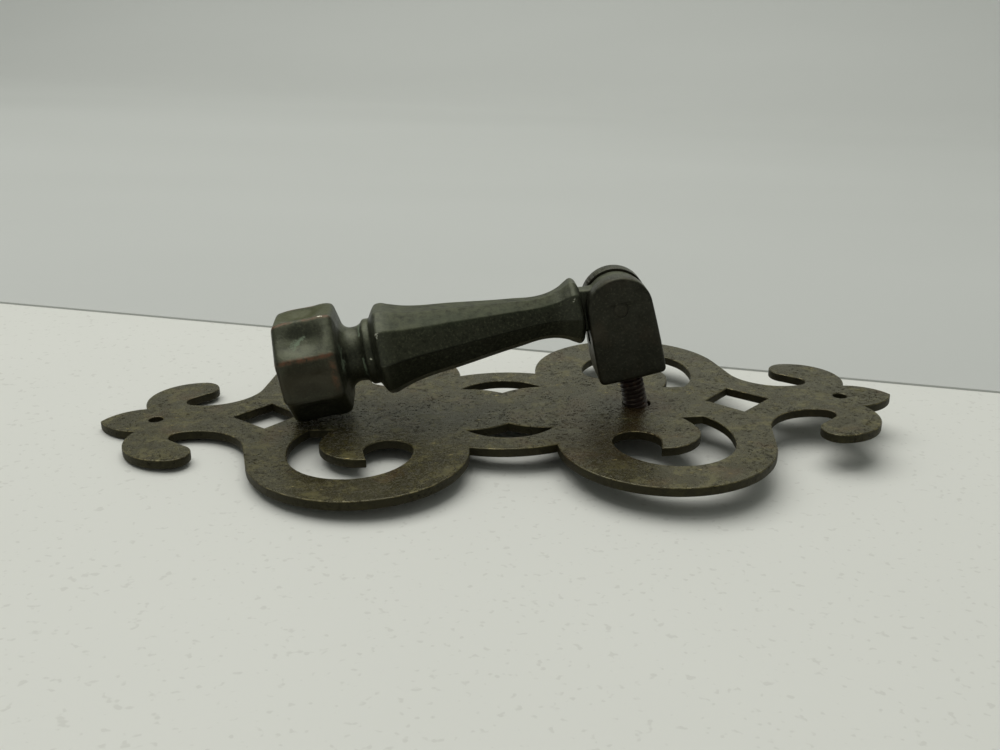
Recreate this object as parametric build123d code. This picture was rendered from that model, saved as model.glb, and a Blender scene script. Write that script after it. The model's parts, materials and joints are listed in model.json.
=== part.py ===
"""Drop pull for a drawer or cupboard door: pierced scroll backplate, fork post on its own
machine screw, and a faceted drop handle hinged on a riveted pin.

Frame: millimetres, +Z out of the plate, +X along it, origin at the plate's centre on its back.
The pull stands as it does on a bench: screw backed out, post leaning, handle lying on the plate.
"""
from build123d import *
from math import acos, asin, atan, atan2, cos, degrees, hypot, radians, sin, sqrt
import os

# ---- backplate ----
plate_thick = 1.5
tip_x = 67.8                     # centre to each pointed end
nail_x = 58.7375                 # 4 5/8 in between the two nail holes
nail_r = 1.2
scroll_centre = (24.3, 16.25)    # big round scrolls, one in each quarter
scroll_r = 17.35
bay_centre = (50.75, 14.1)       # hollow sweep between scroll and leaf
bay_r = 8.25
leaf_centre = (53.7, 8.75)       # leaf of the fleur end
leaf_r = 8.35
lobe_r = 3.1                     # round top of the leaf
eye_r = 1.9                      # rounded root of the gap between leaf and neck
leaf_foot_angle = -27.0          # where the leaf meets the pointed tip
notch_mid_y = 17.45              # top of the bowed edge between two scrolls
notch_bow_y = 17.15
ogive_mid = (65.1, 3.45)         # mid-point of the curved side of the tip

opening_centre = (25.55, 16.2)   # opening inside each scroll, a round hole with a curl in it
opening_r = 9.8
slot_inner = (28.85, 7.1)
slot_outer = (32.65, 6.95)
slot_outer_mid = (35.0, 11.6)
notch_start_y = 17.0
notch_top = (19.8, 12.35)
notch_end = (23.6, 15.95)
curl_lip = (23.0, 19.3)
curl_back = (28.35, 17.6)
curl_waist = (30.7, 13.0)
curl_side = (30.25, 10.1)

crescent_tip = (7.1, 9.3)        # crescent above and below the centre
crescent_outer_y = 12.85
crescent_point_y = 6.95
crescent_shoulder = (3.4, 8.75)

diamond_inner_x = 34.9
diamond_outer_x = 46.0
diamond_mid_x = 40.1
diamond_half_y = 5.45

post_hole_x = 22.7               # the one screw hole, off centre
post_hole_r = 2.4

# ---- machine screw, number 8 with 32 threads per inch ----
thread_r = 2.085
head_r = 4.1
head_h = 2.2
head_rim_h = 0.9
head_gap = 1.7                   # from the plate's mid-plane down to the head's bearing face
screw_top = 11.6
driver_slot_w = 1.1
driver_slot_d = 1.0

# ---- fork post ----
lean = 12.2                      # degrees that the slack screw lets the post lean
post_foot = 6.95                 # distances up the screw's axis from the plate's mid-plane
pivot_up = 19.3
fork_r = 5.4
foot_half_w = 5.65
foot_corner = 0.6
shoulder_up = 12.6               # the sides are parallel up to here, then close in to the head
post_half_y = 4.65
slot_w = 3.1
slot_floor = 13.2
tapped_r = thread_r + 0.05
tapped_top = 12.2
post_edge_r = 0.55

# ---- hinge pin ----
pin_r = 1.2
pin_dome = 0.15

# ---- drop handle, measured from the pivot along its own axis ----
eyelet_r = 4.8
eyelet_thick = 2.9
pin_clearance = 0.05
neck_half_w = 3.6
neck_end = 6.2
knob_facets = 8
knob_corner_r = 9.3
knob_start = 46.6
knob_end = 56.4
knob_rim = 1.1
heel_gap = 0.05
# distance along the axis, half height of the ten-sided bar
bar_stations = [
    (5.7, 3.1),
    (6.9, 5.35),
    (8.3, 4.75),
    (11.8, 3.55),
    (17.3, 3.95),
    (27.0, 5.1),
    (34.8, 6.1),
    (37.6, 6.85),
    (38.9, 7.15),
    (40.3, 6.2),
]
bar_narrow = (12.0, 0.86)        # the bar's width against its height grows from the flare
bar_wide = (37.0, 1.17)          # to the collar: (distance, factor)
# distance along the axis, radius of the turned neck between bar and knob
turned_stations = [
    (40.0, 6.1),
    (40.9, 5.35),
    (41.9, 5.2),
    (43.9, 4.5),
    (44.8, 4.75),
    (45.6, 5.6),
]


def mirrored_loop(edges):
    """Close a quarter outline by mirroring it across X and then across Y."""
    right = edges + [edge.mirror(Plane.XZ) for edge in edges]
    return Wire(right + [edge.mirror(Plane.YZ) for edge in right])


def on_circle(centre, radius, angle):
    return (centre[0] + radius * cos(radians(angle)), centre[1] + radius * sin(radians(angle)))


def arc(start, middle, end):
    return ThreePointArc(start, middle, end).edge()


def line(start, end):
    return Line(start, end).edge()


def plate_quarter():
    """The quarter outline with x > 0 and y > 0, from the tip round to the waist."""
    foot = on_circle(leaf_centre, leaf_r, leaf_foot_angle)
    leaf_top = on_circle(leaf_centre, leaf_r, 91)
    lobe_centre = on_circle(leaf_centre, leaf_r - lobe_r, 91)
    lobe_end = on_circle(lobe_centre, lobe_r, 240)
    # the gap's root is a small circle that touches the bay from inside
    root_angle = -68.7
    root_centre = on_circle(bay_centre, bay_r - eye_r + 0.35, root_angle)
    root_low = on_circle(root_centre, eye_r, root_angle)
    root_high = on_circle(root_centre, eye_r, 60)
    # straight stretch that touches both the scroll and the bay
    across = hypot(bay_centre[0] - scroll_centre[0], bay_centre[1] - scroll_centre[1])
    heading = degrees(atan2(bay_centre[1] - scroll_centre[1], bay_centre[0] - scroll_centre[0]))
    touch = heading + degrees(acos((scroll_r + bay_r) / across))
    scroll_touch = on_circle(scroll_centre, scroll_r, touch)
    bay_touch = on_circle(bay_centre, bay_r, touch + 180)
    notch_corner = on_circle(scroll_centre, scroll_r, 180)
    return [
        arc((tip_x, 0), ogive_mid, foot),
        arc(foot, on_circle(leaf_centre, leaf_r, 32), leaf_top),
        arc(leaf_top, on_circle(lobe_centre, lobe_r, 165), lobe_end),
        line(lobe_end, root_high),
        arc(root_high, on_circle(root_centre, eye_r, 0), root_low),
        arc(root_low, on_circle(bay_centre, bay_r, -110), bay_touch),
        line(bay_touch, scroll_touch),
        arc(scroll_touch, on_circle(scroll_centre, scroll_r, 90), notch_corner),
        arc(notch_corner, (notch_corner[0] / 2, notch_bow_y), (0, notch_mid_y)),
    ]


def scroll_opening():
    """C-shaped hole round a curl, for the quarter with x > 0 and y > 0."""
    right = (opening_centre[0] + opening_r, opening_centre[1])
    drop = opening_centre[1] - notch_start_y
    left = (opening_centre[0] - sqrt(opening_r ** 2 - drop ** 2), notch_start_y)
    return make_face([
        line(slot_inner, slot_outer),
        arc(slot_outer, slot_outer_mid, right),
        arc(right, on_circle(opening_centre, opening_r, 90), left),
        arc(left, notch_top, notch_end),
        line(notch_end, curl_lip),
        arc(curl_lip, curl_back, curl_waist),
        arc(curl_waist, curl_side, slot_inner),
    ])


def crescent():
    outer = arc(crescent_tip, (0, crescent_outer_y), (-crescent_tip[0], crescent_tip[1]))
    sides = []
    for side in (1, -1):
        sides.append(Spline((side * crescent_tip[0], crescent_tip[1]),
                            (side * crescent_shoulder[0], crescent_shoulder[1]),
                            (0, crescent_point_y)).edge())
    return make_face([outer] + sides)


def diamond():
    corners = [(diamond_inner_x, 0), (diamond_mid_x, diamond_half_y),
               (diamond_outer_x, 0), (diamond_mid_x, -diamond_half_y)]
    return make_face(Polyline(*corners, close=True).edges())


def backplate():
    outline = make_face(mirrored_loop(plate_quarter()).edges())
    plate = extrude(outline, plate_thick)
    through = 3 * plate_thick
    hole = scroll_opening()
    holes = [hole, hole.mirror(Plane.XZ), hole.mirror(Plane.YZ), hole.mirror(Plane.XZ).mirror(Plane.YZ)]
    holes += [crescent(), crescent().mirror(Plane.XZ), diamond(), diamond().mirror(Plane.YZ)]
    for face in holes:
        plate -= Pos(0, 0, -plate_thick) * extrude(face, through, dir=(0, 0, 1))
    for x, radius in ((nail_x, nail_r), (-nail_x, nail_r), (post_hole_x, post_hole_r)):
        plate -= Pos(x, 0, 0) * Cylinder(radius, through)
    return plate


# the post's frame: its origin is where the screw's axis crosses the plate's mid-plane
post_frame = Plane(origin=(post_hole_x, 0, plate_thick / 2),
                   x_dir=(cos(radians(lean)), 0, sin(radians(lean))),
                   z_dir=(-sin(radians(lean)), 0, cos(radians(lean))))
pivot = post_frame.from_local_coords((0, 0, pivot_up))


def mounting_screw():
    head_top = -head_gap
    profile = [
        line((0, head_top - head_h), (head_r * 0.55, head_top - head_h)),
        arc((head_r * 0.55, head_top - head_h), (head_r * 0.9, head_top - 0.78 * head_h),
            (head_r, head_top - head_rim_h)),
        line((head_r, head_top - head_rim_h), (head_r, head_top)),
        line((head_r, head_top), (thread_r, head_top)),
        line((thread_r, head_top), (thread_r, screw_top - 0.5)),
        line((thread_r, screw_top - 0.5), (thread_r - 0.5, screw_top)),
        line((thread_r - 0.5, screw_top), (0, screw_top)),
        line((0, screw_top), (0, head_top - head_h)),
    ]
    body = revolve(Plane.XZ * make_face(profile), Axis.Z)
    slot = Pos(0, 0, head_top - head_h) * Box(3 * head_r, driver_slot_w, 2 * driver_slot_d)
    return post_frame.location * (body - slot)


def fork_post():
    # each side stands straight up to the shoulder, then runs to where it touches the round head
    rise = pivot_up - shoulder_up
    reach = hypot(foot_half_w, rise)
    side_angle = degrees(acos(fork_r / reach)) - degrees(atan2(rise, foot_half_w))
    tangent = on_circle((0, pivot_up), fork_r, side_angle)
    right = [(foot_half_w - foot_corner, post_foot), (foot_half_w, post_foot + foot_corner),
             (foot_half_w, shoulder_up), tangent]
    left = [(-x, z) for x, z in right]
    sides = [line(low, high) for side in (right, left) for low, high in zip(side, side[1:])]
    head = arc(tangent, (0, pivot_up + fork_r), left[-1])
    shape = make_face([line(left[0], right[0]), head] + sides)
    block = extrude(Plane.XZ * shape, post_half_y, both=True)
    rim = [edge for edge in block.edges() if abs(abs(edge.center().Y) - post_half_y) < 0.01]
    block = fillet(rim, post_edge_r)
    slot_h = pivot_up + fork_r + 1 - slot_floor
    block -= Pos(0, 0, slot_floor + slot_h / 2) * Box(4 * fork_r, slot_w, slot_h)
    block -= Pos(0, 0, pivot_up) * Rot(90, 0, 0) * Cylinder(pin_r, 4 * post_half_y)
    tapped_h = tapped_top - post_foot + 1
    block -= Pos(0, 0, tapped_top - tapped_h / 2) * Cylinder(tapped_r, tapped_h)
    return post_frame.location * block


def hinge_pin():
    shank = Cylinder(pin_r, 2 * post_half_y)
    pin = chamfer(shank.edges().filter_by(GeomType.CIRCLE), pin_dome)
    return Pos(pivot) * Rot(90, 0, 0) * pin


def bar_section(distance, half_h):
    """Ten-sided section across the handle's axis, narrow at the flare and wide at the collar."""
    share = min(max((distance - bar_narrow[0]) / (bar_wide[0] - bar_narrow[0]), 0), 1)
    widen = bar_narrow[1] + share * (bar_wide[1] - bar_narrow[1])
    quarter = [(0.31, 1.0), (0.8, 0.7), (1.12, 0.0), (0.8, -0.7), (0.31, -1.0)]
    corners = quarter + [(-x, z) for x, z in reversed(quarter)]
    points = [(x * half_h * widen, z * half_h) for x, z in corners]
    return Plane(origin=(0, 0, distance), x_dir=(0, 1, 0), z_dir=(0, 0, 1)) * make_face(
        Polyline(*points, close=True).edges())


def drop_handle():
    """Built along +Z from the pivot, then laid down until its heel meets the plate."""
    bar = loft([bar_section(*station) for station in bar_stations], ruled=True)
    turned = make_face(Polyline((0, turned_stations[0][0]), *[(r, s) for s, r in turned_stations],
                                (0, turned_stations[-1][0]), close=True).edges())
    turned = revolve(Plane.XZ * turned, Axis.Z)
    octagon = RegularPolygon(knob_corner_r, knob_facets, rotation=22.5)
    knob = Pos(0, 0, knob_start) * extrude(octagon, knob_end - knob_start)
    ends = [edge for edge in knob.edges() if abs(edge.center().Z - knob_end) < 0.01]
    knob = chamfer(ends, knob_rim * 0.7, knob_rim)
    shoulder_low = turned_stations[-1]
    shoulder_base = RegularPolygon(shoulder_low[1], knob_facets, rotation=22.5)
    shoulder = loft([Pos(0, 0, shoulder_low[0] - 0.2) * shoulder_base,
                     Pos(0, 0, knob_start) * octagon], ruled=True)
    eyelet = Rot(90, 0, 0) * Cylinder(eyelet_r, eyelet_thick)
    neck = Pos(0, 0, neck_end / 2) * Box(2 * neck_half_w, eyelet_thick, neck_end)
    handle = bar + turned + shoulder + knob + eyelet + neck
    handle -= Rot(90, 0, 0) * Cylinder(pin_r + pin_clearance, 2 * eyelet_thick)
    pivot_rise = pivot.Z - plate_thick
    heel = knob_corner_r * cos(radians(180 / knob_facets))
    heel_s = knob_end - knob_rim
    droop = degrees(asin((pivot_rise - heel_gap) / hypot(heel, heel_s)) - atan(heel / heel_s))
    print("handle droop", round(droop, 2), "degrees")
    return Pos(pivot) * Rot(0, -90 - droop, 0) * handle


os.makedirs("parts", exist_ok=True)
nodes = {
    "backplate": backplate(),
    "mounting_screw": mounting_screw(),
    "fork_post": fork_post(),
    "hinge_pin": hinge_pin(),
    "drop_handle": drop_handle(),
}
for name, solid in nodes.items():
    export_step(solid, f"parts/{name}.step")
print("pivot", [round(v, 3) for v in pivot])
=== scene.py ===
# %% [markdown]
# # A drop pull, rebuilt around its CAD frame
# This file is a lesson in small steps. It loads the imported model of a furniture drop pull: a pierced
# brass backplate, a machine screw, a fork post, a hinge pin and a faceted drop handle. Around that
# frame it builds finer meshes, gives each its patina, and sets up a plain studio.
# Every length is in metres, in the frame's own axes: +X along the plate, +Z out of it.

# %% Load the frame
import json
from math import acos, asin, atan2, cos, degrees, hypot, pi, radians, sin, sqrt
import bmesh
import bpy
import numpy as np
from mathutils import Matrix, Vector


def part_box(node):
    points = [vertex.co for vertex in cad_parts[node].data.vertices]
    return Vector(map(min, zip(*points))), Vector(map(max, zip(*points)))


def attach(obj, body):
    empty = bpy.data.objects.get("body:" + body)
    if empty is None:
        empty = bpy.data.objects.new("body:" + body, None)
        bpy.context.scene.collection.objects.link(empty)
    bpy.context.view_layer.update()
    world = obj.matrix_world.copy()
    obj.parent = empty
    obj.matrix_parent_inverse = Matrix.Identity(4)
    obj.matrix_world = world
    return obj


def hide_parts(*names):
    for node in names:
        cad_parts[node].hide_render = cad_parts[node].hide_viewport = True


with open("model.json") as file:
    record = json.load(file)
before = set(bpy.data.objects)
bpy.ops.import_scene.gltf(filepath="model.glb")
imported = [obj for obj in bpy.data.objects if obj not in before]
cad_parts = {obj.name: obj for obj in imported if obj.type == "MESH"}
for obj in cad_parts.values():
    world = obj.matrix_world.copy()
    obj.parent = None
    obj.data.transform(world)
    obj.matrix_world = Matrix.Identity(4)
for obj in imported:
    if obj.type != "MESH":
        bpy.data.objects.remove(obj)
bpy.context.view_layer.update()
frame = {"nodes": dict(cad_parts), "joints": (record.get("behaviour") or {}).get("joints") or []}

mm = 0.001
scene = bpy.context.scene
joints = {joint["name"]: joint for joint in frame["joints"]}

# %% [markdown]
# The screw, the post and the handle each have an axis of their own. The joints of the frame say where
# those axes run, so every piece can be made in simple upright axes and then carried into place.
# A 4 by 4 matrix does the carrying: its columns are the new X, Y and Z axes and the new origin.

# %% Axes of the post and the handle
def carry_to(origin, z_axis, y_axis=(0, 1, 0)):
    """The matrix that takes a piece made upright at the origin to its own place and lean."""
    z = Vector(z_axis).normalized()
    y = Vector(y_axis)
    x = y.cross(z).normalized()
    turned = Matrix((x, z.cross(x), z)).transposed().to_4x4()
    return Matrix.Translation(Vector(origin)) @ turned


post_foot_point = Vector(joints["post_swivel"]["pos_m"])
post_axis = Vector(joints["post_swivel"]["axis"]).normalized()
pivot_point = Vector(joints["handle_swing"]["pos_m"])
post_place = carry_to(post_foot_point, post_axis)
pivot_up = (pivot_point - post_foot_point).dot(post_axis)

# the handle droops until the heel of its knob, just inside the end's rim, meets the plate
plate_low, plate_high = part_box("backplate")
plate_thick = plate_high.z - plate_low.z
knob_radius, knob_end, knob_rim = 9.3, 56.4, 1.1
heel_down, heel_along = knob_radius * mm * cos(pi / 8), (knob_end - knob_rim) * mm
rise_over_heel = pivot_point.z - plate_high.z - 0.05 * mm
handle_droop = asin(rise_over_heel / hypot(heel_down, heel_along)) - atan2(heel_down, heel_along)
handle_axis = Vector((-cos(handle_droop), 0, -sin(handle_droop)))
handle_place = carry_to(pivot_point, handle_axis)
print("plate", round(plate_thick / mm, 2), "mm thick; pivot", round(pivot_up / mm, 2), "mm up the screw")

# %% [markdown]
# The camera comes first, so that everything after it can be judged in the picture. It is a hand-held
# view from a little above the plate and a little to its left. Placing a camera by a point to look at
# and a small roll is easier to read than three angles.

# %% Camera
camera_point = Vector((-13.79, -174.09, 71.83)) * mm
aim_point = Vector((-0.74, 1.80, 6.73)) * mm
camera_roll = radians(-0.39)
camera_data = bpy.data.cameras.new("studio_camera")
camera_data.lens = 39.56
camera_data.sensor_width = 36
camera_data.clip_start = 0.005
camera = bpy.data.objects.new("studio_camera", camera_data)
scene.collection.objects.link(camera)
look = (aim_point - camera_point).to_track_quat("-Z", "Y").to_matrix().to_4x4()
camera.matrix_world = Matrix.Translation(camera_point) @ look @ Matrix.Rotation(camera_roll, 4, "Z")
scene.camera = camera
print("camera", round((aim_point - camera_point).length / mm), "mm from its aim")

# %% [markdown]
# The pull lies on a worktop with its screw backed out, so the screw's head holds one end of the plate
# up and the pointed tip at the other end touches down. The floor is therefore a plane through those
# two points. A matte, faintly speckled finish keeps it plain.

# %% Colours and node helpers
def colour(red, green, blue):
    return (red, green, blue, 1.0)


class Finish:
    """A material built as a short list of named steps."""

    def __init__(self, name):
        self.material = bpy.data.materials.new(name)
        self.material.use_nodes = True
        self.tree = self.material.node_tree
        self.shader = self.tree.nodes["Principled BSDF"]
        self.space = self.add("ShaderNodeTexCoord").outputs["Object"]

    def add(self, kind, **settings):
        node = self.tree.nodes.new(kind)
        for key, value in settings.items():
            setattr(node, key, value)
        return node

    def feed(self, node, **values):
        """Set or link a node's inputs by name; underscores stand for spaces."""
        for key, value in values.items():
            self.put(node.inputs[key.replace("_", " ")], value)
        return node

    def put(self, socket, value):
        if isinstance(value, bpy.types.NodeSocket):
            self.tree.links.new(value, socket)
        else:
            socket.default_value = value

    def noise(self, size, detail=4.0, rough=0.55, stretch=None, warp=0.0):
        """Soft cloudy pattern whose blobs are about size metres across, from 0 to 1."""
        space = self.space
        if stretch:
            space = self.feed(self.add("ShaderNodeMapping"), Vector=space, Scale=stretch).outputs[0]
        node = self.add("ShaderNodeTexNoise")
        self.feed(node, Vector=space, Scale=1 / size, Detail=detail, Roughness=rough, Distortion=warp)
        return node.outputs["Fac"]

    def mask(self, value, start, end):
        """0 below start, 1 above end, smooth between. Start may be above end."""
        node = self.add("ShaderNodeMapRange", interpolation_type="SMOOTHSTEP")
        self.feed(node, Value=value, From_Min=start, From_Max=end)
        return node.outputs["Result"]

    def math(self, operation, first, second=0.0, third=0.0):
        node = self.add("ShaderNodeMath", operation=operation)
        for socket, value in zip(node.inputs, (first, second, third)):
            self.put(socket, value)
        return node.outputs[0]

    def mix(self, share, first, second):
        """Blend two colours."""
        node = self.add("ShaderNodeMix", data_type="RGBA")
        for index, value in ((0, share), (6, first), (7, second)):
            self.put(node.inputs[index], value)
        return node.outputs[2]

    def attribute(self, name):
        return self.add("ShaderNodeAttribute", attribute_name=name).outputs["Fac"]

    def distance_to(self, point):
        """How far the surface is from one point of the object, in metres."""
        node = self.add("ShaderNodeVectorMath", operation="DISTANCE")
        self.put(node.inputs[0], self.space)
        self.put(node.inputs[1], point)
        return node.outputs["Value"]

    def facing(self, axis="Z"):
        """How far the surface faces along one axis of the object, from -1 to 1."""
        normal = self.add("ShaderNodeTexCoord").outputs["Normal"]
        return self.feed(self.add("ShaderNodeSeparateXYZ"), Vector=normal).outputs[axis]

    def bump(self, height, depth, strength=1.0, below=None):
        node = self.add("ShaderNodeBump")
        self.feed(node, Strength=strength, Distance=depth, Height=height)
        if below:
            self.put(node.inputs["Normal"], below)
        return node.outputs["Normal"]

    def surface(self, **values):
        self.feed(self.shader, **values)
        return self.material


# %% Floor through the two points of contact
def worktop_finish():
    top = Finish("speckled_worktop")
    cloud = top.noise(0.06, detail=2)
    speck = top.mask(top.noise(0.0012, detail=1), 0.63, 0.74)
    tone = top.mix(cloud, colour(0.75, 0.755, 0.70), colour(0.79, 0.795, 0.74))
    tone = top.mix(top.math("MULTIPLY", speck, 0.25), tone, colour(0.46, 0.45, 0.40))
    return top.surface(Base_Color=tone, Roughness=0.6, Specular_IOR_Level=0.3)


def stage_mesh(name, points, faces, finish):
    """A mesh that only furnishes the studio."""
    mesh = bpy.data.meshes.new(name)
    mesh.from_pydata(points, [], faces)
    mesh.materials.append(finish)
    shape = bpy.data.objects.new(name, mesh)
    scene.collection.objects.link(shape)
    return mesh


tip_point = Vector((plate_low.x, 0, plate_low.z))
head_points = [v.co for v in frame["nodes"]["mounting_screw"].data.vertices]
floor_slope = max((tip_point.z - p.z) / (p.x - tip_point.x) for p in head_points)


def floor_height(x):
    return tip_point.z - floor_slope * (x - tip_point.x)


top_half = 1.2
corners = [(-top_half, -top_half), (top_half, -top_half), (top_half, top_half), (-top_half, top_half)]
stage_mesh("worktop", [(x, y, floor_height(x)) for x, y in corners], [(0, 1, 2, 3)], worktop_finish())
print("worktop tilts", round(degrees(atan2(floor_slope, 1)), 2), "degrees against the plate")

# %% [markdown]
# Behind the pull a sheet of pale card lies on the worktop. It is turned a little, shows a fine line
# where it begins, and curves up far behind to make a wall. The light is soft and comes from above and
# behind, while the camera's side of the room is darker. The half-gloss brass shows this clearly: flat
# faces mirror the pale card and upright ones the dark room.

# %% Card backdrop
def card_finish():
    card = Finish("pale_card")
    folds = card.noise(0.10, detail=2, rough=0.4, stretch=(0.35, 1.0, 1.0))
    tone = card.mix(folds, colour(0.545, 0.56, 0.53), colour(0.605, 0.62, 0.59))
    return card.surface(Base_Color=tone, Roughness=0.85, Specular_IOR_Level=0.15)


card_turn = radians(-14.5)
along_card = Vector((cos(card_turn), sin(card_turn), 0))
away_card = Vector((-sin(card_turn), cos(card_turn), 0))
bend_start, bend_radius, bend_steps = 0.42, 0.30, 16
card_profile = [(0.0, 0.0), (0.0, 0.0004), (bend_start, 0.0004)]
for step in range(1, bend_steps + 1):
    t = step / bend_steps * pi / 2
    card_profile.append((bend_start + bend_radius * sin(t), bend_radius * (1 - cos(t))))
card_profile.append((bend_start + bend_radius, 1.1))
card_points = []
for side in (-1.0, 1.0):
    for away, up in card_profile:
        spot = Vector((0, 0.0446, 0)) + along_card * side + away_card * away
        card_points.append((spot.x, spot.y, floor_height(spot.x) + up))
rows = len(card_profile)
card_faces = [(i, i + rows, i + rows + 1, i + 1) for i in range(rows - 1)]
card_mesh = stage_mesh("card_backdrop", card_points, card_faces, card_finish())
for face in card_mesh.polygons:
    face.use_smooth = face.index > 1


# %% Lights
def area_light(name, place, aim, width, height, power, tint=(1, 1, 1)):
    data = bpy.data.lights.new(name, "AREA")
    data.shape = "RECTANGLE"
    data.size, data.size_y = width, height
    data.energy = power
    data.color = tint
    light = bpy.data.objects.new(name, data)
    toward = (Vector(aim) - Vector(place)).to_track_quat("-Z", "Y").to_matrix().to_4x4()
    light.matrix_world = Matrix.Translation(Vector(place)) @ toward
    scene.collection.objects.link(light)
    return light


area_light("ceiling_softbox", (-0.10, 0.22, 0.80), (0, 0, 0), 1.1, 0.8, 5.6, (1.0, 0.995, 0.97))
area_light("high_lamp", (-0.10, -0.26, 0.60), (0, 0, 0), 0.05, 0.05, 0.16)
world = bpy.data.worlds.new("room")
world.use_nodes = True
world.node_tree.nodes["Background"].inputs["Color"].default_value = colour(0.80, 0.84, 0.80)
world.node_tree.nodes["Background"].inputs["Strength"].default_value = 0.29
scene.world = world
scene.view_settings.view_transform = "Standard"

# %% [markdown]
# ## Flat pieces from their outlines
# The backplate, the handle's eyelet and the fork all start as a flat outline with holes. A Blender
# curve in 2D mode fills such an outline, gives it thickness and rounds its rim in one go. For the
# plate the outline doesn't need drawing again: the frame's own mesh already holds it. Its loops are
# read from the top face, corners are kept sharp and every other point gets a smooth handle.

# %% Helpers: outline curve to solid sheet
corner_turn = radians(28)


def outline_loops(node, height):
    """The closed outlines of a CAD node's flat face at one height, as lists of 2D points."""
    mesh = bmesh.new()
    mesh.from_mesh(frame["nodes"][node].data)
    bmesh.ops.remove_doubles(mesh, verts=mesh.verts, dist=1e-6)
    top = {f for f in mesh.faces if f.normal.z > 0.99 and abs(f.calc_center_median().z - height) < 1e-5}
    rim = [e for e in mesh.edges if sum(f in top for f in e.link_faces) == 1]
    after = {}
    for edge in rim:
        for here, there in (edge.verts, reversed(edge.verts)):
            after.setdefault(here, []).append(there)
    loops = []
    while after:
        start = next(iter(after))
        loop, here = [], start
        while here in after:
            loop.append((here.co.x, here.co.y))
            ways = after.pop(here)
            here = next((way for way in ways if way in after), None)
        loops.append(loop)
    mesh.free()
    return loops


def smooth_outline(curve, loop):
    """Add one closed loop to a curve: straight handles at corners, automatic ones elsewhere."""
    spline = curve.splines.new("BEZIER")
    spline.bezier_points.add(len(loop) - 1)
    spline.use_cyclic_u = True
    count = len(loop)
    for i, (x, y) in enumerate(loop):
        before, after = loop[i - 1], loop[(i + 1) % count]
        turn = atan2(after[1] - y, after[0] - x) - atan2(y - before[1], x - before[0])
        turn = abs((turn + pi) % (2 * pi) - pi)
        point = spline.bezier_points[i]
        point.co = (x, y, 0)
        kind = "VECTOR" if turn > corner_turn else "AUTO"
        point.handle_left_type = point.handle_right_type = kind
    return spline


def solid_sheet(name, loops, thickness, rim, steps=3, detail=2):
    """A sheet centred on z = 0 with the given outlines and a rounded rim, as a plain object."""
    curve = bpy.data.curves.new(name, "CURVE")
    curve.dimensions = "2D"
    curve.fill_mode = "BOTH"
    curve.resolution_u = detail
    curve.extrude = thickness / 2 - rim
    curve.bevel_depth = rim
    curve.bevel_resolution = steps
    curve.offset = -rim
    for loop in loops:
        smooth_outline(curve, loop)
    shape = bpy.data.objects.new(name, curve)
    return baked(shape, name)


def baked(shape, name):
    """Turn an object with modifiers, or a curve, into a plain mesh object of its own."""
    if shape.name not in scene.collection.objects:
        scene.collection.objects.link(shape)
    bpy.context.view_layer.update()
    graph = bpy.context.evaluated_depsgraph_get()
    shown = shape.evaluated_get(graph)
    mesh = bpy.data.meshes.new_from_object(shown, preserve_all_data_layers=True, depsgraph=graph)
    mesh.name = name
    bpy.data.objects.remove(shape)
    piece = bpy.data.objects.new(name, mesh)
    scene.collection.objects.link(piece)
    return piece


def tidy_mesh(piece, merge=1e-6):
    """Merge doubled points and point every face outwards."""
    mesh = bmesh.new()
    mesh.from_mesh(piece.data)
    bmesh.ops.remove_doubles(mesh, verts=mesh.verts, dist=merge)
    bmesh.ops.dissolve_degenerate(mesh, edges=mesh.edges, dist=merge / 2)
    bmesh.ops.recalc_face_normals(mesh, faces=mesh.faces)
    open_edges = sum(len(e.link_faces) != 2 for e in mesh.edges)
    mesh.to_mesh(piece.data)
    mesh.free()
    print(piece.name, len(piece.data.polygons), "faces,", open_edges, "open edges")
    return piece


def store(piece, name, values):
    """Keep one number per point on the mesh, for the finish to read."""
    layer = piece.data.attributes.new(name, "FLOAT", "POINT")
    layer.data.foreach_set("value", np.array(values, dtype=np.float32))


def shade(piece, sharp_angle=35, flat_above=1.0):
    """Smooth shading that keeps true corners; faces above an area in square metres stay flat."""
    for face in piece.data.polygons:
        face.use_smooth = face.area < flat_above
    piece.data.set_sharp_from_angle(angle=radians(sharp_angle))
    weight = piece.modifiers.new("weighted", "WEIGHTED_NORMAL")
    weight.keep_sharp = True
    return baked(piece, piece.name)


# %% Backplate mesh
plate_rim = 0.22 * mm
loops = outline_loops("backplate", plate_high.z)
plate = solid_sheet("pierced_backplate", loops, plate_thick, plate_rim)
plate.data.transform(Matrix.Translation((0, 0, plate_thick / 2)))
plate = shade(tidy_mesh(plate))
print("outlines in the plate:", len(loops))

# %% [markdown]
# ## Turned pieces by one rule
# The screw and the handle are both a profile carried round an axis, and both break the roundness by a
# rule: the thread climbs as it goes round, and the handle's bar and knob are flattened into facets.
# Geometry Nodes suits this. The tree takes a flat grid, reads how far along and how far round each
# point is, looks up the profile, and places the point. The profile itself is a small curve drawn from
# given points, so its bends stay easy to change.

# %% Helpers: profile curve and rule tree
def profile_curve(name, points):
    """Points are (distance along the axis, radius, corner or smooth), in millimetres."""
    curve = bpy.data.curves.new(name, "CURVE")
    curve.dimensions = "3D"
    curve.resolution_u = 16
    spline = curve.splines.new("BEZIER")
    spline.bezier_points.add(len(points) - 1)
    for target, (along, radius, kind) in zip(spline.bezier_points, points):
        target.co = (along * mm, radius * mm, 0)
        handle = "VECTOR" if kind == "corner" else "AUTO"
        target.handle_left_type = target.handle_right_type = handle
    shape = bpy.data.objects.new(name, curve)
    scene.collection.objects.link(shape)
    return shape


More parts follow.
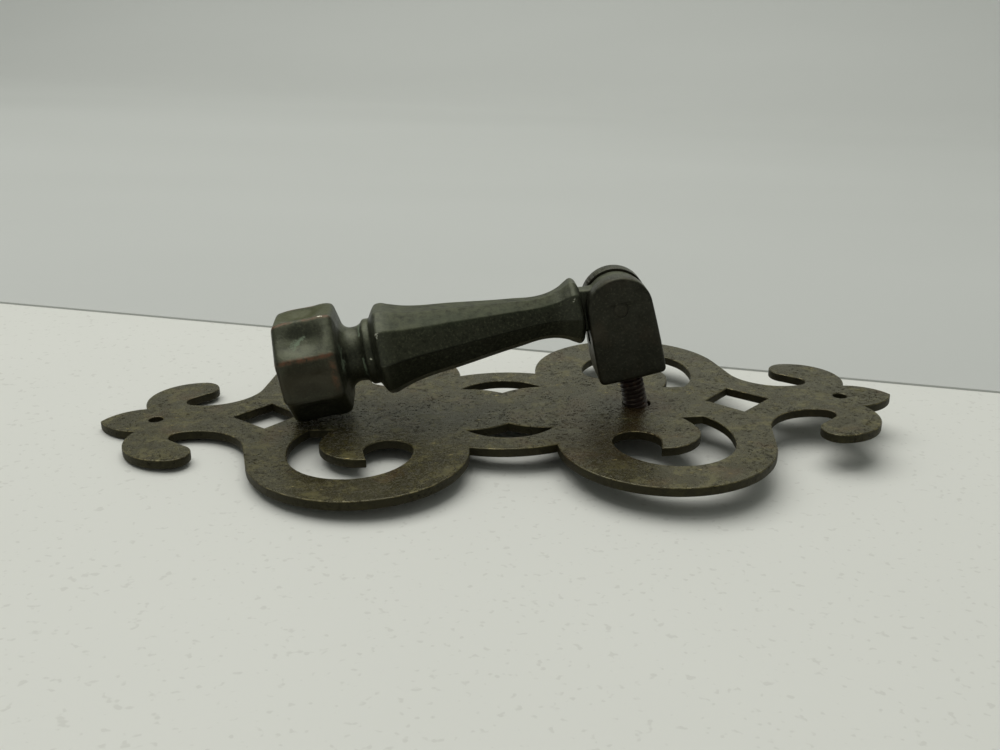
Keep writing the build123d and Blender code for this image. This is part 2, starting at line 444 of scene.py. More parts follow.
class Rule:
    """A Geometry Nodes tree written step by step, with named inputs for its sizes."""
    KINDS = {float: "NodeSocketFloat", int: "NodeSocketInt", bpy.types.Object: "NodeSocketObject"}

    def __init__(self, name, **sizes):
        self.tree = bpy.data.node_groups.new(name, "GeometryNodeTree")
        self.tree.interface.new_socket("Geometry", in_out="OUTPUT", socket_type="NodeSocketGeometry")
        self.values = sizes
        self.sockets = {key: self.socket(key, self.KINDS[type(value)]) for key, value in sizes.items()}
        self.sockets["Finish"] = self.socket("Finish", "NodeSocketMaterial")
        self.inputs = self.tree.nodes.new("NodeGroupInput").outputs

    def socket(self, name, kind):
        return self.tree.interface.new_socket(name, in_out="INPUT", socket_type=kind)

    def add(self, kind, *values, **settings):
        node = self.tree.nodes.new(kind)
        for key, value in settings.items():
            setattr(node, key, value)
        for socket, value in zip(node.inputs, values):
            self.put(socket, value)
        return node

    def put(self, socket, value):
        if isinstance(value, bpy.types.NodeSocket):
            self.tree.links.new(value, socket)
        elif value is not None:
            socket.default_value = value

    def math(self, operation, *values):
        return self.add("ShaderNodeMath", *values, operation=operation).outputs[0]

    def smooth_step(self, value, start, end, low=0.0, high=1.0):
        node = self.add("ShaderNodeMapRange", interpolation_type="SMOOTHSTEP")
        given = {"Value": value, "From Min": start, "From Max": end, "To Min": low, "To Max": high}
        for key, number in given.items():
            self.put(node.inputs[key], number)
        return node.outputs["Result"]

    def bake(self, geometry, name, finish):
        """End the tree, run it on an empty mesh, and hand back a plain object."""
        real = self.add("GeometryNodeRealizeInstances", geometry).outputs[0]
        done = self.add("GeometryNodeSetMaterial", real)
        self.put(done.inputs["Material"], self.inputs["Finish"])
        out = self.tree.nodes.new("NodeGroupOutput")
        self.put(out.inputs[0], done.outputs[0])
        shape = bpy.data.objects.new(name, bpy.data.meshes.new(name))
        modifier = shape.modifiers.new("rule", "NODES")
        modifier.node_group = self.tree
        for key, value in {**self.values, "Finish": finish}.items():
            modifier[self.sockets[key].identifier] = value
        return baked(shape, name)


def turned_grid(rule, rows, columns):
    """A grid whose points know how far along (0 to 1) and how far round (0 to 1) they are."""
    grid = rule.add("GeometryNodeMeshGrid", 1.0, 1.0, rows, columns).outputs["Mesh"]
    place = rule.add("ShaderNodeSeparateXYZ", rule.add("GeometryNodeInputPosition").outputs[0])
    along = rule.math("ADD", place.outputs["X"], 0.5)
    around = rule.math("ADD", place.outputs["Y"], 0.5)
    return grid, along, around


def sampled_profile(rule, along):
    """Distance along the axis and radius, read from the profile curve at each point."""
    drawn = rule.add("GeometryNodeObjectInfo", rule.inputs["Profile"]).outputs["Geometry"]
    sample = rule.add("GeometryNodeSampleCurve", mode="FACTOR", use_all_curves=True)
    rule.put(sample.inputs["Curves"], drawn)
    rule.put(sample.inputs["Factor"], along)
    parts = rule.add("ShaderNodeSeparateXYZ", sample.outputs["Position"])
    return parts.outputs["X"], parts.outputs["Y"]


def place_points(rule, grid, station, radius, angle, stretch=1.0):
    """Put each grid point at its radius and angle about Z, then close the seam and the ends."""
    across = rule.math("MULTIPLY", rule.math("MULTIPLY", radius, rule.math("COSINE", angle)), stretch)
    up = rule.math("MULTIPLY", radius, rule.math("SINE", angle))
    spot = rule.add("ShaderNodeCombineXYZ", across, up, station).outputs[0]
    moved = rule.add("GeometryNodeSetPosition", grid)
    rule.put(moved.inputs["Position"], spot)
    merge = rule.add("GeometryNodeMergeByDistance", moved.outputs[0])
    rule.put(merge.inputs["Distance"], 0.002 * mm)
    return merge


# %% [markdown]
# ### The machine screw
# Its thread is a number 8 with 32 turns to the inch. The rule: the radius falls from crest to root by
# a triangle wave that slips one pitch for every turn round the axis, which is exactly what a thread is.

# %% Machine screw
thread_pitch = 25.4 / 32 * mm
crest_radius = 2.085 * mm
thread_depth = 0.47 * mm
screw_top = 11.6
head_face = -1.7
head_bottom = head_face - 2.2
screw_profile = profile_curve("screw_profile", [
    (head_bottom, 0.0, "corner"), (head_bottom, 2.2, "smooth"), (head_bottom + 0.48, 3.69, "smooth"),
    (head_face - 0.9, 4.1, "smooth"), (head_face - 0.1, 4.1, "smooth"), (head_face, 4.0, "corner"),
    (head_face, 2.085, "corner"), (screw_top - 0.5, 2.085, "corner"), (screw_top, 1.55, "corner"),
    (screw_top, 0.0, "corner")])


def machine_screw(finish):
    rule = Rule("machine_screw_rule", Profile=screw_profile, Pitch=float(thread_pitch),
                Depth=float(thread_depth), Rows=430, Columns=64)
    grid, along, around = turned_grid(rule, rule.inputs["Rows"], rule.inputs["Columns"])
    station, radius = sampled_profile(rule, along)
    angle = rule.math("MULTIPLY", around, 2 * pi)
    climb = rule.math("SUBTRACT", rule.math("DIVIDE", station, rule.inputs["Pitch"]), around)
    wave = rule.math("PINGPONG", climb, 0.5)
    on_shank = rule.smooth_step(station, (head_face + 0.2) * mm, (head_face + 0.8) * mm)
    before_end = rule.smooth_step(station, screw_top * mm, (screw_top - 0.6) * mm)
    share = rule.math("MULTIPLY", on_shank, before_end)
    cut = rule.math("MULTIPLY", rule.smooth_step(wave, 0.06, 0.44), rule.inputs["Depth"])
    cut = rule.math("MULTIPLY", cut, share)
    merged = place_points(rule, grid, station, rule.math("SUBTRACT", radius, cut), angle)
    return rule.bake(merged.outputs[0], "machine_screw", finish)


def cut_away(piece, *tools):
    """Subtract other solids from a piece, exactly, and remove them."""
    for tool in tools:
        modifier = piece.modifiers.new("cut", "BOOLEAN")
        modifier.operation = "DIFFERENCE"
        modifier.solver = "EXACT"
        modifier.object = tool
    done = baked(piece, piece.name)
    for tool in tools:
        bpy.data.objects.remove(tool)
    return done


def block(name, low, high):
    """A plain box used only as a cutting tool."""
    mesh = bmesh.new()
    bmesh.ops.create_cube(mesh, size=1)
    size = Vector(high) - Vector(low)
    centre = (Vector(high) + Vector(low)) / 2
    stretched = Matrix.Translation(centre) @ Matrix.Diagonal((*size, 1))
    bmesh.ops.transform(mesh, matrix=stretched, verts=mesh.verts)
    data = bpy.data.meshes.new(name)
    mesh.to_mesh(data)
    mesh.free()
    tool = bpy.data.objects.new(name, data)
    scene.collection.objects.link(tool)
    return tool


def rod(name, radius, reach, segments=96):
    """A plain rod along Y, centred on the origin, used only as a cutting tool."""
    mesh = bmesh.new()
    round_ends = {"radius1": radius, "radius2": radius, "depth": 2 * reach}
    bmesh.ops.create_cone(mesh, cap_ends=True, segments=segments, **round_ends)
    bmesh.ops.rotate(mesh, matrix=Matrix.Rotation(pi / 2, 3, "X"), verts=mesh.verts)
    data = bpy.data.meshes.new(name)
    mesh.to_mesh(data)
    mesh.free()
    tool = bpy.data.objects.new(name, data)
    scene.collection.objects.link(tool)
    return tool


slot_reach, slot_side = 9 * mm, 0.55 * mm
slot_low = (-slot_reach, -slot_side, (head_bottom - 1) * mm)
slot_high = (slot_reach, slot_side, (head_bottom + 1) * mm)
driver_slot = block("driver_slot", slot_low, slot_high)
screw = cut_away(tidy_mesh(machine_screw(None)), driver_slot)
screw.data.transform(post_place)
screw = shade(tidy_mesh(screw), 50)
bpy.data.objects.remove(screw_profile)

# %% [markdown]
# ### The drop handle
# The bar has ten sides, narrow on top and bottom and wide at the shoulders, and the knob has eight.
# A convex polygon is the smallest of its sides' distances, so its radius at any angle is one over the
# largest of a few cosines. A smooth maximum in place of a plain one rounds the corners, as casting
# and a century of hands have done. Each of the knob's facets is also dished, by a depth that fades
# out towards the facet's own edges.

# %% Handle profile
handle_profile = profile_curve("handle_profile", [
    (5.75, 0.0, "corner"), (5.75, 2.4, "smooth"), (5.95, 4.0, "smooth"), (6.55, 5.15, "smooth"),
    (7.1, 5.35, "smooth"), (7.8, 5.05, "smooth"), (9.4, 4.2, "smooth"), (12.3, 3.58, "smooth"),
    (17.3, 3.95, "smooth"), (27.0, 5.1, "smooth"), (34.6, 6.0, "smooth"), (37.4, 6.75, "smooth"),
    (38.8, 7.15, "smooth"), (40.0, 6.85, "smooth"), (40.6, 6.05, "smooth"), (41.0, 5.5, "smooth"),
    (41.5, 5.5, "smooth"), (42.0, 5.45, "smooth"), (42.6, 4.85, "smooth"), (43.9, 4.55, "smooth"),
    (44.8, 4.75, "smooth"), (45.5, 5.5, "smooth"), (46.1, 7.9, "smooth"), (46.5, 8.95, "smooth"),
    (47.2, knob_radius, "smooth"), (50.0, knob_radius, "smooth"), (54.9, 9.2, "smooth"),
    (55.8, 8.95, "smooth"), (56.25, 8.3, "smooth"), (knob_end, 7.0, "smooth"), (knob_end, 0.0, "corner")])
facet_starts = 44.9 * mm
bar_ends = 40.5 * mm
knob_from, knob_to = 46.6 * mm, 56.3 * mm


def side_distance(rule, across, up, lean, distance):
    """How strongly one pair of sides, whose outward direction leans from Y towards Z, limits the radius."""
    facing = rule.math("MULTIPLY", across, cos(lean) / distance)
    return rule.math("MULTIPLY_ADD", up, sin(lean) / distance, facing)


def many_sided(rule, across, up, sides, softness):
    """Radius of a polygon given as (lean, distance) of its sides in one quarter."""
    strongest = side_distance(rule, across, up, *sides[0])
    for side in sides[1:]:
        strongest = rule.math("SMOOTH_MAX", strongest, side_distance(rule, across, up, *side), softness)
    return rule.math("DIVIDE", 1.0, strongest)


def drop_handle_body(finish):
    rule = Rule("drop_handle_rule", Profile=handle_profile, Rows=330, Columns=193,
                Bar_softness=0.012, Knob_softness=0.02, Dish_depth=float(0.85 * mm))
    grid, along, around = turned_grid(rule, rule.inputs["Rows"], rule.inputs["Columns"])
    station, radius = sampled_profile(rule, along)
    angle = rule.math("MULTIPLY", around, 2 * pi)
    across = rule.math("ABSOLUTE", rule.math("COSINE", angle))
    up = rule.math("ABSOLUTE", rule.math("SINE", angle))
    bar_sides = [(radians(24.6), 1.018), (radians(58.5), 1.015), (radians(90), 1.0)]
    bar = many_sided(rule, across, up, bar_sides, rule.inputs["Bar_softness"])
    apothem = cos(pi / 8)
    knob_sides = [(0.0, apothem), (radians(45), apothem), (radians(90), apothem)]
    knob = many_sided(rule, across, up, knob_sides, rule.inputs["Knob_softness"])
    bar_share = rule.smooth_step(station, bar_ends, 39.6 * mm)
    knob_share = rule.smooth_step(station, facet_starts, 46.2 * mm)
    fullness = rule.math("MULTIPLY_ADD", rule.math("SUBTRACT", bar, 1.0), bar_share, 1.0)
    fullness = rule.math("MULTIPLY_ADD", rule.math("SUBTRACT", knob, 1.0), knob_share, fullness)
    # how far a point is from the middle of its knob facet, 0 in the middle and 1 at the corner
    turn = rule.math("PINGPONG", angle, pi / 8)
    off_middle = rule.math("DIVIDE", rule.math("TANGENT", turn), sqrt(2) - 1)
    inside = rule.smooth_step(off_middle, 0.97, 0.1)
    from_start = rule.smooth_step(station, knob_from + 0.3 * mm, knob_from + 4.6 * mm)
    from_end = rule.smooth_step(station, knob_to - 0.3 * mm, knob_to - 4.2 * mm)
    dish = rule.math("MULTIPLY", inside, rule.math("MULTIPLY", from_start, from_end))
    dish = rule.math("MULTIPLY", dish, rule.inputs["Dish_depth"])
    full = rule.math("SUBTRACT", rule.math("MULTIPLY", radius, fullness), dish)
    # the bar is narrow at the flare and wide at the collar, so only its width is stretched
    widen = rule.add("ShaderNodeMapRange", station, 12 * mm, 37 * mm, 0.86, 1.17).outputs["Result"]
    stretch = rule.math("MULTIPLY_ADD", rule.math("SUBTRACT", widen, 1.0), bar_share, 1.0)
    merged = place_points(rule, grid, station, full, angle, stretch)
    return rule.bake(merged.outputs[0], "drop_handle_body", finish)


handle = tidy_mesh(drop_handle_body(None))
# the rule turns about Z with its first corner on X, and the bar's wide corner belongs across the plate
handle.data.transform(Matrix.Rotation(pi / 2, 4, "Z"))
bpy.data.objects.remove(handle_profile)

# %% [markdown]
# The end that goes into the fork is a flat ring on a flat tongue. It is drawn as one outline, thickened
# to a sheet, and joined to the turned part, and then the bore for the pin is cut through it.

# %% Eyelet and tongue, joined to the bar
eyelet_radius = 5.1
eyelet_thick = 2.9 * mm
round_steps = 40
# the round eyelet flows into the tongue through a shallow hollow on either side
leave = radians(52)
turns = [leave + pi / 2 + i * (2 * pi - 2 * leave) / round_steps for i in range(round_steps + 1)]
eyelet_loop = [(eyelet_radius * mm * cos(t), eyelet_radius * mm * sin(t)) for t in turns]
hollow = [(3.62, 3.7), (3.5, 4.5), (3.6, 5.5), (3.7, 7.0)]
eyelet_loop += [(x * mm, y * mm) for x, y in hollow]
eyelet_loop += [(-x * mm, y * mm) for x, y in reversed(hollow)]
eyelet = solid_sheet("eyelet", [eyelet_loop], eyelet_thick, 0.5 * mm, detail=3)
eyelet.data.transform(Matrix.Rotation(pi / 2, 4, "X"))
tidy_mesh(eyelet)
joined = handle.modifiers.new("join", "BOOLEAN")
joined.operation = "UNION"
joined.solver = "EXACT"
joined.object = eyelet
handle = baked(handle, "drop_handle_casting")
bpy.data.objects.remove(eyelet)
pin_radius = 1.2 * mm
handle = cut_away(handle, rod("eyelet_bore", pin_radius + 0.05 * mm, 5 * mm))
store(handle, "along", [v.co.z / mm for v in handle.data.vertices])
store(handle, "turn", [degrees(atan2(abs(v.co.y), v.co.x)) for v in handle.data.vertices])
handle.data.transform(handle_place)
handle = shade(tidy_mesh(handle), 40)

# %% [markdown]
# ## The fork post and its pin
# From the front the post is a plain outline: a flat foot, sides that close in slightly towards the
# top, and a round head. So it is one solid sheet as thick as the post is deep, with a generous rounded
# rim. A slot is cut through the head for the eyelet, and the slot's edges get a small bevel.

# %% Fork post
post_foot, post_half_y, fork_radius, foot_half, shoulder_up = 6.95, 4.65, 5.4, 5.65, 12.6
slot_half, slot_floor = 1.55, 13.2
rise = pivot_up / mm - shoulder_up
side_turn = acos(fork_radius / hypot(foot_half, rise)) - atan2(rise, foot_half)
arch = [side_turn + i * (pi - 2 * side_turn) / round_steps for i in range(round_steps + 1)]
post_loop = [(fork_radius * mm * cos(t), pivot_up + fork_radius * mm * sin(t)) for t in arch]
# the sides stand straight up from a rounded foot, then close in a little to meet the head
corner = 0.9
turns = [i * pi / 8 for i in range(5)]
round_corner = [(foot_half - corner + corner * cos(t), post_foot + corner - corner * sin(t)) for t in turns]
left_side = [(-foot_half, shoulder_up)] + [(-x, z) for x, z in round_corner]
right_side = list(reversed(round_corner)) + [(foot_half, shoulder_up)]
post_loop += [(x * mm, z * mm) for x, z in left_side + right_side]
post = solid_sheet("fork_post_casting", [post_loop], 2 * post_half_y * mm, 0.55 * mm, steps=4, detail=3)
post.data.transform(Matrix.Rotation(pi / 2, 4, "X"))
tidy_mesh(post)
slot = block("slot", (-9 * mm, -slot_half * mm, slot_floor * mm), (9 * mm, slot_half * mm, 40 * mm))
tapped = rod("tapped_hole", crest_radius + 0.05 * mm, 3 * mm)
tapped.data.transform(Matrix.Translation((0, 0, 9.2 * mm)) @ Matrix.Rotation(pi / 2, 4, "X"))
bore = rod("pin_bore", pin_radius, 9 * mm)
bore.data.transform(Matrix.Translation((0, 0, pivot_up)))
post = cut_away(post, slot, tapped, bore)
worn = post.modifiers.new("worn_edges", "BEVEL")
worn.width = 0.28 * mm
worn.segments = 3
worn.limit_method = "ANGLE"
worn.angle_limit = radians(55)
post = baked(post, "fork_post_casting")
post.data.transform(post_place)
post = shade(tidy_mesh(post), 40, flat_above=2e-6)

# %% [markdown]
# The pin is turned rather than drawn: half its outline, mirrored and carried round its axis. Its ends
# are hammered flush with the cheeks, with a slight dome.

# %% Hinge pin with peened ends
def lathed(name, profile, segments=64):
    """Turn (radius, height) points about Z into a closed solid."""
    mesh = bmesh.new()
    rings = [[mesh.verts.new((r * cos(2 * pi * i / segments), r * sin(2 * pi * i / segments), h))
              for i in range(segments)] for r, h in profile]
    for low, high in zip(rings, rings[1:]):
        for i in range(segments):
            mesh.faces.new((low[i], low[(i + 1) % segments], high[(i + 1) % segments], high[i]))
    mesh.faces.new(reversed(rings[0]))
    mesh.faces.new(rings[-1])
    data = bpy.data.meshes.new(name)
    mesh.to_mesh(data)
    mesh.free()
    piece = bpy.data.objects.new(name, data)
    scene.collection.objects.link(piece)
    return piece


pin_end = post_half_y * mm
half_pin = [
    (pin_radius, 0.0), (pin_radius, pin_end - 0.18 * mm), (pin_radius - 0.05 * mm, pin_end - 0.1 * mm),
    (0.75 * mm, pin_end - 0.03 * mm), (0.3 * mm, pin_end)]
pin = lathed("peened_pin", [(r, -h) for r, h in reversed(half_pin[1:])] + half_pin)
pin.data.transform(Matrix.Translation((0, 0, pivot_up)) @ Matrix.Rotation(pi / 2, 4, "X"))
pin.data.transform(post_place)
pin = shade(tidy_mesh(pin), 40)

# %% [markdown]
# ## Patina
# All the brass has aged: a dark olive skin, with a painted dark brown reflection where it mirrors something
# dark, pale green verdigris in hollows and red copper where fingers rub. Each finish mixes three or four
# clouds of different sizes. Wear follows the shape: the thread's crests by an attribute that says how sharp
# the nearest edge is, the plate's rim by which way it faces, and the handle by place along and round it.
# Painted light follows the shape too: painted shade on the plate's upright rims, a painted pale sheen on
# faces that look up, and painted highlights as glints on the handle.

# %% Edge attribute
def mark_edges(piece, reach=2):
    """Store how convex (above 0) or hollow (below 0) the surface is at each point, from -1 to 1."""
    mesh = bmesh.new()
    mesh.from_mesh(piece.data)
    sharp = np.zeros(len(mesh.verts))
    for edge in mesh.edges:
        bend = edge.calc_face_angle_signed(0.0)
        for vert in edge.verts:
            if abs(bend) > abs(sharp[vert.index]):
                sharp[vert.index] = bend
    ends = np.array([[v.index for v in e.verts] for e in mesh.edges])
    for _ in range(reach):
        total, count = np.zeros_like(sharp), np.zeros_like(sharp)
        for a, b in ((0, 1), (1, 0)):
            np.add.at(total, ends[:, a], sharp[ends[:, b]])
            np.add.at(count, ends[:, a], 1)
        sharp = (sharp + total / np.maximum(count, 1)) / 2
    mesh.free()
    store(piece, "edge", np.clip(sharp / 0.6, -1, 1))
    print(piece.name, "edge from", round(float(sharp.min()), 2), "to", round(float(sharp.max()), 2))


mark_edges(screw)


# %% [markdown]
# ### The plate
# Seen at a low angle the plate is nearly a mirror, so its patina has to show in the shine as well as in
# the colour. The same pores and dull patches that darken the colour also take gloss away.

# %% Plate finish and a helper for wear along a line
def near(brass, value, centre, half):
    """1 at the centre, falling to 0 at half a width away."""
    away = brass.math("ABSOLUTE", brass.math("SUBTRACT", value, centre))
    return brass.mask(away, half, 0.0)


def plate_finish():
    brass = Finish("olive_brass_plate")
    wide, fine = brass.noise(0.022, detail=4), brass.noise(0.0030, detail=6, rough=0.7)
    grain = brass.noise(0.0006, detail=3, rough=0.75)
    tone = brass.mix(wide, colour(0.022, 0.018, 0.007), colour(0.050, 0.043, 0.018))
    tone = brass.mix(brass.mask(fine, 0.47, 0.66), tone, colour(0.098, 0.086, 0.032))
    rusty = brass.mask(brass.noise(0.008, detail=4), 0.54, 0.68)
    tone = brass.mix(brass.math("MULTIPLY", rusty, 0.55), tone, colour(0.066, 0.034, 0.011))
    # sandy grain: dark pores and paler grains, thicker in some places than in others
    where = brass.mask(brass.noise(0.007, detail=3), 0.34, 0.58)
    pits = brass.math("MULTIPLY", brass.mask(grain, 0.47, 0.37), brass.math("MULTIPLY_ADD", where, 0.7, 0.3))
    tone = brass.mix(brass.math("MULTIPLY", pits, 0.65), tone, colour(0.010, 0.008, 0.004))
    dust = brass.math("MULTIPLY", brass.mask(grain, 0.56, 0.66), brass.math("MULTIPLY_ADD", where, 0.5, 0.2))
    tone = brass.mix(dust, tone, colour(0.145, 0.132, 0.060))
    # darker and browner round the screw's hole, in patches
    close = brass.mask(brass.distance_to(joints["screw_rock"]["pos_m"]), 0.0085, 0.002)
    close = brass.math("MULTIPLY", close, brass.mask(fine, 0.25, 0.60))
    tone = brass.mix(brass.math("MULTIPLY", close, 0.75), tone, colour(0.045, 0.020, 0.010))
    # a dull, painted dark brown reflection of the post, on the plate in front of it
    post_reflection_centre = (0.0150, -0.0150, 0.0015)
    brown_patch = brass.mask(brass.distance_to(post_reflection_centre), 0.0150, 0.0040)
    brown_patch = brass.math("MULTIPLY", brown_patch, brass.mask(brass.noise(0.006, detail=4), 0.34, 0.56))
    tone = brass.mix(brass.math("MULTIPLY", brown_patch, 0.7), tone, colour(0.026, 0.018, 0.008))
    # upright rims are painted darker, as shade where they face the dark room; only their rounded top line is
    # rubbed bright, here and there
    level = brass.facing("Z")
    painted_rim_shade = brass.mask(level, 0.55, 0.15)
    tone = brass.mix(brass.math("MULTIPLY", painted_rim_shade, 0.8), tone, colour(0.010, 0.009, 0.005))
    line = near(brass, level, 0.72, 0.26)
    rubbed = brass.math("MULTIPLY", line, brass.mask(brass.noise(0.0011, detail=3), 0.55, 0.63))
    scratched = brass.noise(0.0008, detail=3, stretch=(0.35, 1.0, 1.0))
    nick = brass.math("MULTIPLY", brass.mask(scratched, 0.68, 0.72), brass.mask(fine, 0.42, 0.60))
    nick = brass.math("MULTIPLY", nick, brass.mask(level, 0.8, 0.95))
    bright = brass.math("MAXIMUM", brass.math("MULTIPLY", rubbed, 0.42), nick)
    tone = brass.mix(bright, tone, colour(0.50, 0.42, 0.20))
    metal = brass.math("MULTIPLY_ADD", bright, 0.8, 0.10)
    rough = brass.math("MULTIPLY_ADD", fine, 0.40, 0.05)
    rough = brass.math("MULTIPLY_ADD", brass.math("MAXIMUM", pits, painted_rim_shade), 0.3, rough)
    relief = brass.bump(brass.noise(0.0009, detail=4, rough=0.7), 0.00012, 0.7)
    relief = brass.bump(brass.math("MULTIPLY", pits, -1.0), 0.00008, 0.8, relief)
    relief = brass.bump(wide, 0.0006, 0.3, relief)
    # the shine is patchy too: gone in the pores and thinner where the skin is dull
    dull = brass.mask(brass.noise(0.0045, detail=6, rough=0.7), 0.58, 0.42)
    loss = brass.math("ADD", brass.math("MULTIPLY", pits, 0.55), brass.math("MULTIPLY", dull, 0.30))
    loss = brass.math("MAXIMUM", loss, brass.math("MULTIPLY", painted_rim_shade, 0.62))
    loss = brass.math("MULTIPLY_ADD", brown_patch, 0.28, loss)
    gloss = brass.math("MAXIMUM", brass.math("SUBTRACT", 0.90, loss), 0.1)
    tint = colour(1.0, 0.95, 0.66)
    return brass.surface(Base_Color=tone, Metallic=metal, Roughness=rough, Normal=relief,
                         Specular_IOR_Level=gloss, Specular_Tint=tint)


# %% [markdown]
# ### The dark castings
# The handle, the post and the pin share one charcoal skin: a sandy grain in the colour and the relief,
# and pale dust with a painted sheen on faces that look up. The handle then adds its own marks, placed by
# two numbers that every point of it carries: how far along the handle it is, in millimetres, and how far
# round, in degrees.

# %% Dark finish shared by the handle, post and pin
def dark_brass(name, low, high, dust_and_sheen_colour):
    """Charcoal patina: two clouds, pale dust with a painted sheen on faces that look up, and a fine cast
    grain.
    """
    brass = Finish(name)
    wide, fine = brass.noise(0.010, detail=4), brass.noise(0.0014, detail=5, rough=0.65)
    tone = brass.mix(wide, low, high)
    sand = brass.noise(0.00042, detail=3, rough=0.75)
    tone = brass.mix(brass.math("MULTIPLY", brass.mask(sand, 0.54, 0.66), 0.34), tone, dust_and_sheen_colour)
    pores = brass.math("MULTIPLY", brass.mask(sand, 0.47, 0.36), 0.75)
    tone = brass.mix(pores, tone, colour(0.003, 0.003, 0.002))
    # pale dust and a painted sheen: faces that look up are painted lighter, as if lit from above
    upward = brass.mask(brass.facing("Z"), 0.30, 0.95)
    dust_and_sheen = brass.math("MULTIPLY", upward, brass.mask(fine, 0.20, 0.70))
    tone = brass.mix(brass.math("MULTIPLY", dust_and_sheen, 0.85), tone, dust_and_sheen_colour)
    rough = brass.math("MULTIPLY_ADD", fine, 0.34, 0.22)
    relief = brass.bump(sand, 0.00008, 0.6)
    relief = brass.bump(brass.noise(0.0028, detail=3), 0.00022, 0.5, relief)
    return brass, tone, rough, relief


# %% Handle finish
def handle_finish():
    low, high = colour(0.013, 0.0135, 0.009), colour(0.023, 0.024, 0.016)
    dust_and_sheen_colour = colour(0.105, 0.112, 0.066)
    brass, tone, rough, relief = dark_brass("dark_olive_handle", low, high, dust_and_sheen_colour)
    along, turn = brass.attribute("along"), brass.attribute("turn")
    ragged = brass.noise(0.0028, detail=4, rough=0.6)
    on_knob = brass.mask(along, 46.2, 47.0)
    # browner skin on the knob's side facets
    brown = brass.math("MULTIPLY", on_knob, near(brass, turn, 92.0, 34.0))
    tone = brass.mix(brass.math("MULTIPLY", brown, 0.75), tone, colour(0.034, 0.024, 0.014))
    # yellow-green dust and a painted pale sheen on its top facet
    lime_dust_and_sheen = brass.math("MULTIPLY", on_knob, brass.mask(turn, 24.0, 14.0))
    tone = brass.mix(brass.math("MULTIPLY", lime_dust_and_sheen, 0.6), tone, colour(0.070, 0.074, 0.022))
    # copper where the knob's ridges are rubbed, in broken strokes
    ridge = brass.math("MAXIMUM", near(brass, turn, 67.5, 4.5), near(brass, turn, 22.5, 3.5))
    rim = brass.math("MULTIPLY", near(brass, along, 47.1, 0.9), near(brass, turn, 88.0, 26.0))
    copper = brass.math("MULTIPLY", brass.math("MAXIMUM", ridge, rim), on_knob)
    copper = brass.math("MULTIPLY", copper, brass.mask(ragged, 0.36, 0.56))
    broken = brass.mask(brass.noise(0.0006, detail=3, rough=0.7), 0.32, 0.54)
    copper = brass.math("MULTIPLY", copper, broken)
    tone = brass.mix(copper, tone, colour(0.130, 0.052, 0.027))
    # verdigris in the hollow of the upper facet, in the groove and behind the knob
    hollow = brass.math("MULTIPLY", near(brass, turn, 48.0, 20.0), near(brass, along, 50.6, 5.2))
    back = brass.math("MULTIPLY", near(brass, along, 45.8, 0.9), near(brass, turn, 75.0, 60.0))
    groove = near(brass, along, 42.6, 0.6)
    behind = brass.math("MULTIPLY", brass.math("MAXIMUM", back, groove), 0.62)
    places = brass.math("MAXIMUM", hollow, behind)
    drift = brass.mask(brass.noise(0.0035, detail=3), 0.36, 0.58)
    places = brass.math("MULTIPLY", places, drift)
    grains = brass.math("MULTIPLY", brass.noise(0.0005, detail=3, rough=0.75), places)
    crumbs = brass.mask(grains, 0.20, 0.36)
    tone = brass.mix(brass.math("MULTIPLY", crumbs, 0.9), tone, colour(0.20, 0.25, 0.175))
    # a patchy painted pale green sheen on the bar's upper side, and a dark casting line along its widest
    # ridge
    painted_green_sheen = brass.math("MULTIPLY", near(brass, turn, 42.0, 26.0), brass.mask(along, 42.0, 36.0))
    painted_green_sheen = brass.math("MULTIPLY", painted_green_sheen, brass.mask(brass.noise(0.006, detail=4), 0.35, 0.7))
    tone = brass.mix(brass.math("MULTIPLY", painted_green_sheen, 0.55), tone, colour(0.036, 0.046, 0.028))
    seam = brass.math("MULTIPLY", near(brass, turn, 90.0, 2.2), brass.mask(along, 40.0, 38.0))
    tone = brass.mix(brass.math("MULTIPLY", seam, 0.8), tone, colour(0.006, 0.006, 0.004))
    rough = brass.math("MULTIPLY_ADD", crumbs, 0.4, rough)
    # painted highlights: bright, nearly bare-metal glints on the collar, the flare and the knob's top ridge
    painted_glint_spots = [
        (39.4, 1.2, 56.0, 12.0), (41.3, 0.7, 84.0, 9.0), (7.2, 0.8, 52.0, 12.0), (48.0, 1.6, 22.0, 5.0)]
    glint_places = 0.0
    for station, half, side, spread in painted_glint_spots:
        spot = brass.math("MULTIPLY", near(brass, along, station, half), near(brass, turn, side, spread))
        glint_places = brass.math("MAXIMUM", glint_places, spot)
    glint = brass.math("MULTIPLY", glint_places, brass.noise(0.0005, detail=3, rough=0.7))
    glint = brass.mask(glint, 0.42, 0.50)
    tone = brass.mix(glint, tone, colour(0.62, 0.62, 0.50))
    metal = brass.math("MULTIPLY_ADD", glint, 0.75, 0.04)
    # the knob and the collar are handled and shine; the bar between them is duller
    on_bar = brass.math("MULTIPLY", brass.mask(along, 8.5, 11.5), brass.mask(along, 39.5, 36.5))
    gloss = brass.math("MULTIPLY_ADD", on_bar, -0.34, 0.50)
    gloss = brass.math("MULTIPLY_ADD", lime_dust_and_sheen, -0.18, gloss)
    gloss = brass.math("MULTIPLY", gloss, brass.math("MULTIPLY_ADD", ragged, 0.9, 0.55))
    return brass.surface(Base_Color=tone, Metallic=metal, Roughness=rough, Normal=relief,
                         Specular_IOR_Level=gloss, Specular_Tint=colour(0.95, 1.0, 0.76))


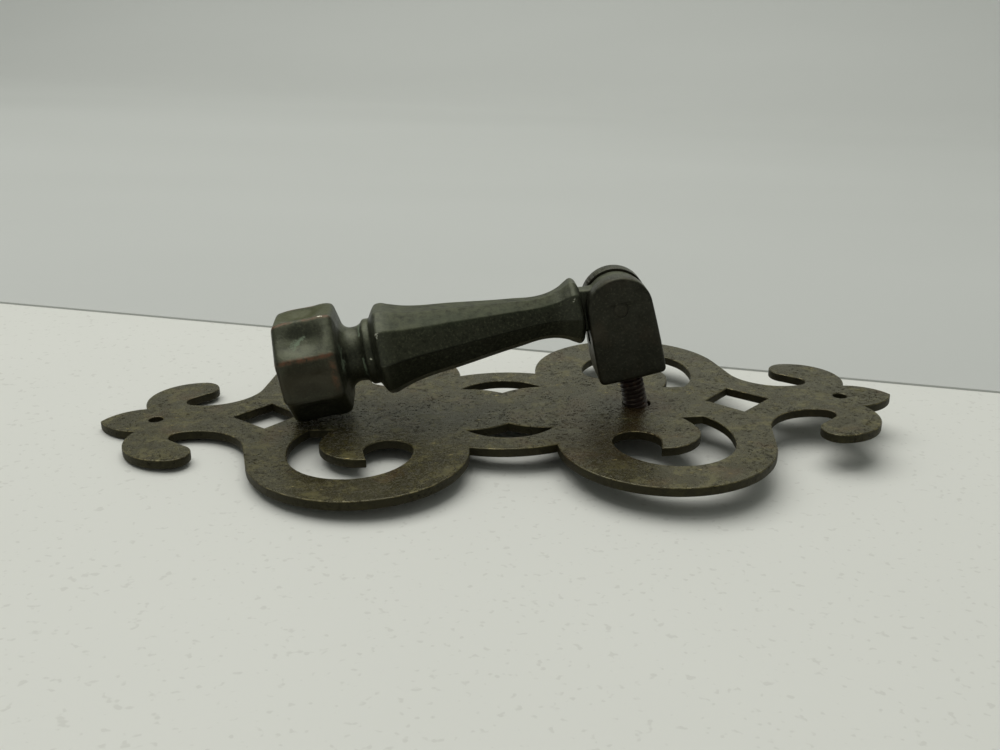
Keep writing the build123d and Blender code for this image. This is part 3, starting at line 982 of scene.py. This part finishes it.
# %% Post, pin and screw finishes
def post_finish():
    low, high = colour(0.008, 0.008, 0.0055), colour(0.014, 0.014, 0.009)
    dust_and_sheen_colour = colour(0.082, 0.084, 0.052)
    brass, tone, rough, relief = dark_brass("charcoal_post", low, high, dust_and_sheen_colour)
    brown_patch = brass.math("MULTIPLY", brass.mask(brass.noise(0.0045, detail=4), 0.50, 0.72), 0.5)
    tone = brass.mix(brown_patch, tone, colour(0.034, 0.024, 0.015))
    gloss = brass.math("MULTIPLY_ADD", brass.noise(0.0024, detail=4, rough=0.6), 0.5, 0.06)
    return brass.surface(Base_Color=tone, Metallic=0.05, Roughness=rough, Normal=relief,
                         Specular_IOR_Level=gloss, Specular_Tint=colour(1.0, 0.99, 0.80))


def pin_finish():
    low, high, dust_and_sheen_colour = colour(0.009, 0.009, 0.006), colour(0.017, 0.016, 0.010), colour(0.070, 0.070, 0.045)
    brass, tone, rough, relief = dark_brass("peened_pin_brass", low, high, dust_and_sheen_colour)
    gloss = brass.math("MULTIPLY_ADD", brass.noise(0.0016, detail=4, rough=0.6), 0.5, 0.10)
    return brass.surface(Base_Color=tone, Metallic=0.05, Roughness=rough, Normal=relief,
                         Specular_IOR_Level=gloss, Specular_Tint=colour(1.0, 0.97, 0.78))


def screw_finish():
    steel = Finish("rusty_screw_steel")
    wide, fine = steel.noise(0.004, detail=4), steel.noise(0.0008, detail=4)
    tone = steel.mix(wide, colour(0.020, 0.013, 0.010), colour(0.050, 0.028, 0.017))
    rust = steel.mask(fine, 0.52, 0.70)
    tone = steel.mix(steel.math("MULTIPLY", rust, 0.6), tone, colour(0.13, 0.065, 0.032))
    crest = steel.mask(steel.attribute("edge"), 0.15, 0.6)
    crest = steel.math("MULTIPLY", crest, steel.mask(fine, 0.45, 0.60))
    tone = steel.mix(steel.math("MULTIPLY", crest, 0.5), tone, colour(0.20, 0.17, 0.14))
    metal = steel.math("MULTIPLY_ADD", crest, 0.5, 0.25)
    relief = steel.bump(steel.noise(0.0006, detail=4), 0.00008, 0.8)
    return steel.surface(Base_Color=tone, Metallic=metal, Roughness=0.42, Normal=relief)


# %% [markdown]
# Every piece is listed with the body it moves with, the CAD node it stands for and the slot of the
# record its finish belongs to. Each then gets its finish and rides with its body, and its CAD node is
# hidden.

# %% Riding and replacing
pieces = [
    (plate, "plate", "backplate", "plate_brass", plate_finish()),
    (screw, "screw", "mounting_screw", "screw_steel", screw_finish()),
    (post, "post", "fork_post", "post_brass", post_finish()),
    (pin, "post", "hinge_pin", "pin_brass", pin_finish()),
    (handle, "handle", "drop_handle", "handle_brass", handle_finish()),
]
for piece, body, node, slot_name, finish in pieces:
    piece.data.materials.clear()
    piece.data.materials.append(finish)
    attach(piece, body)
    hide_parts(node)
    print(piece.name, "rides on", body, "with", len(piece.data.polygons), "faces")
